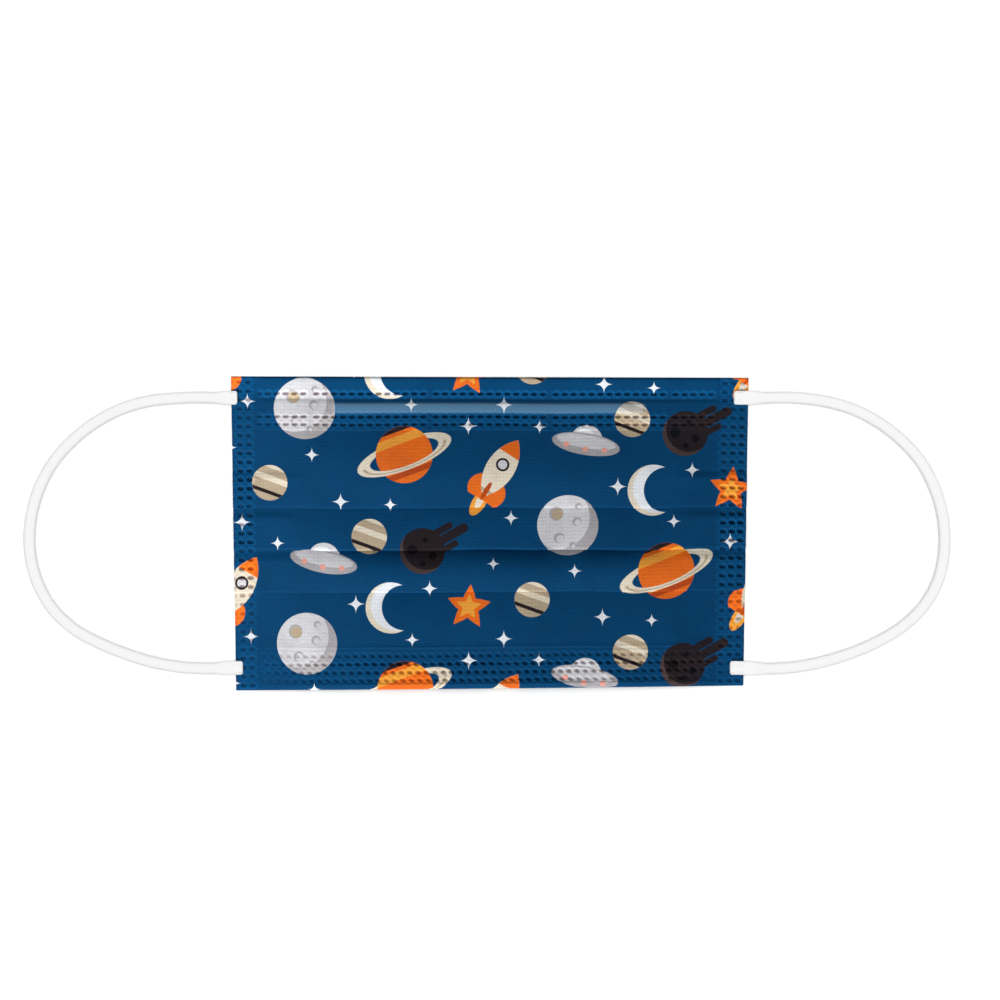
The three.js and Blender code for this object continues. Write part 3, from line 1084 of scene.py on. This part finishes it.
def printed_nonwoven():
    """Navy nonwoven with the space print, darker and glossier where a weld presses it, with painted
    highlights over the wire's ridge, on the pits' lips and on the smooth edge strips.
    """
    recipe = Recipe("printed_nonwoven")
    place = recipe.map("Print")
    recipe.colour = ink(NAVY)
    for draw, x, y in MOTIFS:
        draw(recipe, place.moved(x, y).repeated(*REPEAT))
    for x, y, reach in GLINTS:
        recipe.paint(glint(place.moved(x, y).repeated(*REPEAT), reach), WHITE)
    cloud = recipe.noise(place, scale=0.09, detail=3, roughness=0.6)
    colour = recipe.blend(cloud.between(0.35, 0.75) * 0.16, recipe.colour, ink(NAVY_CLOUD))
    relief, fibres, _ = nonwoven_relief(recipe, place)
    colour = recipe.blend(fibres.between(0.35, 0.65) * 0.22, colour, FIBRE_SHADE, "MULTIPLY")
    pale = recipe.luminance(colour).between(0.2, 0.6)
    pressed = recipe.attribute("pressed")
    colour = recipe.blend(pressed * 0.8, colour, PRESSED_SHADE, "MULTIPLY")
    colour = recipe.blend(pressed * pale * 0.7, colour, PALE_PRESSED_SHADE, "MULTIPLY")
    # Painted highlight: the lips round the pits are multiplied lighter, less so on pale print.
    lip = recipe.attribute("lip")
    colour = recipe.blend(lip - lip * pale * 0.9, colour, LIP_PAINTED_HIGHLIGHT, "MULTIPLY")
    # Painted highlight: the smooth strips at the nose and chin edges are multiplied lighter.
    colour = recipe.blend(recipe.attribute("strip"), colour, STRIP_PAINTED_HIGHLIGHT, "MULTIPLY")
    ridge = recipe.attribute("ridge")
    # Painted highlight: the print is screened lighter over the wire's ridge, standing in for the
    # light that the pressed ridge catches.
    colour = recipe.blend(ridge * 0.2, colour, ink(WIRE_PAINTED_HIGHLIGHT), "SCREEN")
    roughness = (pressed * -0.22 + 0.62) - ridge * 0.2
    return recipe.finish(colour, roughness, relief, bump=0.5, specular=0.04)


def white_nonwoven():
    """The white layer against the face."""
    recipe = Recipe("white_nonwoven")
    place = recipe.map("Print")
    relief, fibres, dots = nonwoven_relief(recipe, place)
    colour = recipe.blend(fibres.between(0.3, 0.7) * 0.5, ink(LINING), ink(LINING_FIBRE))
    colour = recipe.blend(dots * 0.35, colour, ink(LINING_DOT))
    pressed = recipe.attribute("pressed")
    colour = recipe.blend(pressed * 0.5, colour, ink(LINING_PRESSED))
    return recipe.finish(colour, pressed * -0.25 + 0.7, relief, bump=0.6, specular=0.4)


def knitted_elastic():
    """White elastic: fine lengthwise wales of small stitches, with painted shade greying the valleys
    between them.
    """
    recipe = Recipe("elastic")
    place = recipe.map("Cord")
    hairs = recipe.noise(place.stretched(0.5, 0.18), scale=2, detail=3, roughness=0.6)
    valley = recipe.attribute("valley")
    # Painted shade: the valleys between the wales are greyed.
    colour = recipe.blend(valley * 0.4, YARN, YARN_PAINTED_SHADE)
    pressed = recipe.attribute("pressed")
    colour = recipe.blend(pressed * 0.5, colour, YARN_PRESSED)
    return recipe.finish(colour, pressed * -0.2 + 0.75, hairs, bump=0.35, specular=0.2)


def coated_wire():
    """The wire's matt white plastic coat, faintly drawn along its length."""
    recipe = Recipe("coated_wire")
    place = recipe.own_place().vector("MULTIPLY", (60, 2500, 2500))
    drawn = recipe.noise(place, scale=1, detail=2, roughness=0.5)
    colour = recipe.blend(drawn.between(0.3, 0.7) * 0.5, ink(COAT), ink(COAT_DRAWN))
    return recipe.finish(colour, drawn * 0.1 + 0.4, drawn, bump=0.2, specular=0.5)


def floor_finish():
    """Plain white paper with a faint tooth."""
    recipe = Recipe("floor")
    tooth = recipe.noise(recipe.own_place(), scale=900, detail=2, roughness=0.5)
    return recipe.finish(PAPER, roughness=0.9, height=tooth, bump=0.05, specular=0.1)


# ---------- the pieces

# Steps between grid lines, and where lines stand about the middle of a pit.
SIDE_STEP = 0.5
SIDE_OFFSETS = (-0.98, -0.82, -0.4, 0.4, 0.82, 0.98)
NOSE_OFFSETS = (-0.95, -0.72, -0.3, 0.3, 0.72, 0.95)
NOSE_CENTRES = np.add.outer(np.arange(-2, 3) * NOSE_REPEAT, np.arange(-6, 7) * PIT_PITCH).ravel()
CHIN_OFFSETS = (-0.3, 0, 0.3)
CHIN_CENTRES = np.arange(-60, 61) * CHIN_PITCH / 2
PLEAT_STEP = 1.0
LINING_STEP = 1.3
WIRE_STEP = 1.0
WIRE_SIDES = 16
WIRE_SQUARENESS = 0.5
WIRE_END_LENGTH = 1.3
WIRE_END_WIDTH = 0.12
WIRE_END_THICKNESS = 0.4


def columns_across(centres, offsets, widest):
    """Column places across the mask, close together at these centres and at the side welds."""
    middle = lines_through(-SIDE_FROM, SIDE_FROM, centres, offsets, widest)
    welds = [column for column, _ in SIDE_COLUMNS]
    left = lines_through(-HALF_WIDTH, -SIDE_FROM, welds, SIDE_OFFSETS, SIDE_STEP)
    right = lines_through(SIDE_FROM, HALF_WIDTH, welds, SIDE_OFFSETS, SIDE_STEP)
    return np.concatenate([left[:-1], middle, right[1:]])


def make_floor():
    """A wide sheet of paper under the mask, as stage and not as part of the object."""
    floor = bpy.data.meshes.new("floor")
    reach = FLOOR_REACH * MM
    corners = [(-reach, -reach, 0), (reach, -reach, 0), (reach, reach, 0), (-reach, reach, 0)]
    floor.from_pydata(corners, [], [(0, 1, 2, 3)])
    piece = linked_object("floor", floor)
    piece.location.z = min(cad_box[0][2], 0)
    floor.materials.append(floor_finish())
    return piece


def ear_loop(name, route, node, material):
    """A knitted oval tube along the route, pressed flat where it is welded to the mask.

    Each ring is a superellipse. The wales are |sin| ribs round it, the stitches are a sine along
    it whose phase alternates from wale to wale, the tips are quarter rounds, and the welded ends
    take the weld's pits.
    """
    plan, run = smooth_route(route, LOOP_STEP)
    flat = 1 - ramp(np.abs(plan[:, 0]), WELD_ENDS, ROUND_FROM)
    height = mixed(LOOP_THICKNESS / 2 + FLOOR_CLEARANCE, WELDED_HEIGHT, flat)
    centre = np.column_stack([plan, height])
    along = np.gradient(centre, axis=0)
    along /= np.linalg.norm(along, axis=1)[:, None]
    side = np.cross((0, 0, 1), along)
    side /= np.linalg.norm(side, axis=1)[:, None]
    up = np.cross(along, side)
    angle = np.linspace(0, 2 * np.pi, LOOP_SIDES, endpoint=False)[None, :]
    tip = mixed(END_HEIGHT, 1, quarter_round(np.minimum(run, run[-1] - run) / END_LENGTH))
    half_width = mixed(LOOP_WIDTH, WELDED_WIDTH, flat) / 2 * mixed(END_WIDTH, 1, tip)
    half_height = mixed(LOOP_THICKNESS, WELDED_THICKNESS, flat) / 2 * tip
    wale = np.abs(np.sin(angle * WALES))
    phase = np.pi * np.floor(angle * WALES / np.pi)
    stitches = np.sin(2 * np.pi * run[:, None] / STITCH + phase)
    loose = (1 - RELIEF_PRESSED * flat)[:, None]
    relief = (WALE_RISE * (wale - WALE_LEVEL) + STITCH_RISE * stitches * wale) * loose
    across, rise = superellipse(angle, LOOP_SQUARENESS)
    across = across * (half_width[:, None] + relief)
    rise = rise * (half_height[:, None] + relief)
    points = centre[:, None] + side[:, None] * across[..., None] + up[:, None] * rise[..., None]
    pressed, _ = weld_marks(points[..., 0], points[..., 1])
    pressed = pressed * flat[:, None] * (points[..., 2] > height[:, None])
    points[..., 2] -= WELD_PIT * pressed
    piece, corners = tube(name, points * MM)
    girth = np.pi * (LOOP_WIDTH + LOOP_THICKNESS) / 2
    places = np.stack(np.broadcast_arrays(run[:, None], girth * angle / (2 * np.pi)), -1)
    put_map(piece, "Cord", places.reshape(-1, 2)[corners])
    put_value(piece, "pressed", pressed)
    # The valley mask carries the painted shade between the wales.
    put_value(piece, "valley", (1 - wale) * loose)
    piece.data.materials.append(material)
    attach(piece, "root")
    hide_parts(node)
    return piece


def nose_strip(material):
    """The wire between the layers: a flat strip under the hem's ridge, settled with the cloth.

    Each ring is a superellipse, and the ends are quarter rounds.
    """
    x = lines_through(-WIRE_HALF_LENGTH, WIRE_HALF_LENGTH, [], [], WIRE_STEP)[:, None]
    angle = np.linspace(0, 2 * np.pi, WIRE_SIDES, endpoint=False)[None, :]
    round_end = quarter_round((WIRE_HALF_LENGTH - np.abs(x)) / WIRE_END_LENGTH)
    taper = mixed(WIRE_END_WIDTH, 1, round_end)
    across, rise = superellipse(angle, WIRE_SQUARENESS)
    y = WIRE_Y + across * WIRE_WIDTH / 2 * taper
    z = WIRE_LEVEL + rise * WIRE_THICKNESS / 2 * mixed(WIRE_END_THICKNESS, 1, taper)
    piece, _ = tube("nose_strip", settled(x, y, z))
    piece.data.materials.append(material)
    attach(piece, "root")
    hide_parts("nose_wire")


set_camera()
elastic = knitted_elastic()
left_loop = ear_loop("elastic_left", LEFT_ROUTE, "ear_loop_left", elastic)
right_loop = ear_loop("elastic_right", RIGHT_ROUTE, "ear_loop_right", elastic)
set_light([make_floor(), left_loop, right_loop])
printed = printed_nonwoven()
cloth_piece("nose_hem", nose_line(), columns_across(NOSE_CENTRES, NOSE_OFFSETS, PIT_PITCH / 4),
            PRINTED_LAYER, printed)
cloth_piece("chin_hem", chin_line(), columns_across(CHIN_CENTRES, CHIN_OFFSETS, CHIN_PITCH / 4),
            PRINTED_LAYER, printed)
cloth_piece("pleats", pleat_line(NOSE_SEAM, CHIN_SEAM, HIDDEN_STEP),
            columns_across([], [], PLEAT_STEP), PRINTED_LAYER, printed)
cloth_piece("face_side", pleat_line(LINING_NOSE, LINING_CHIN, ROW_STEP),
            columns_across([], [], LINING_STEP), WHITE_LAYER, white_nonwoven())
nose_strip(coated_wire())
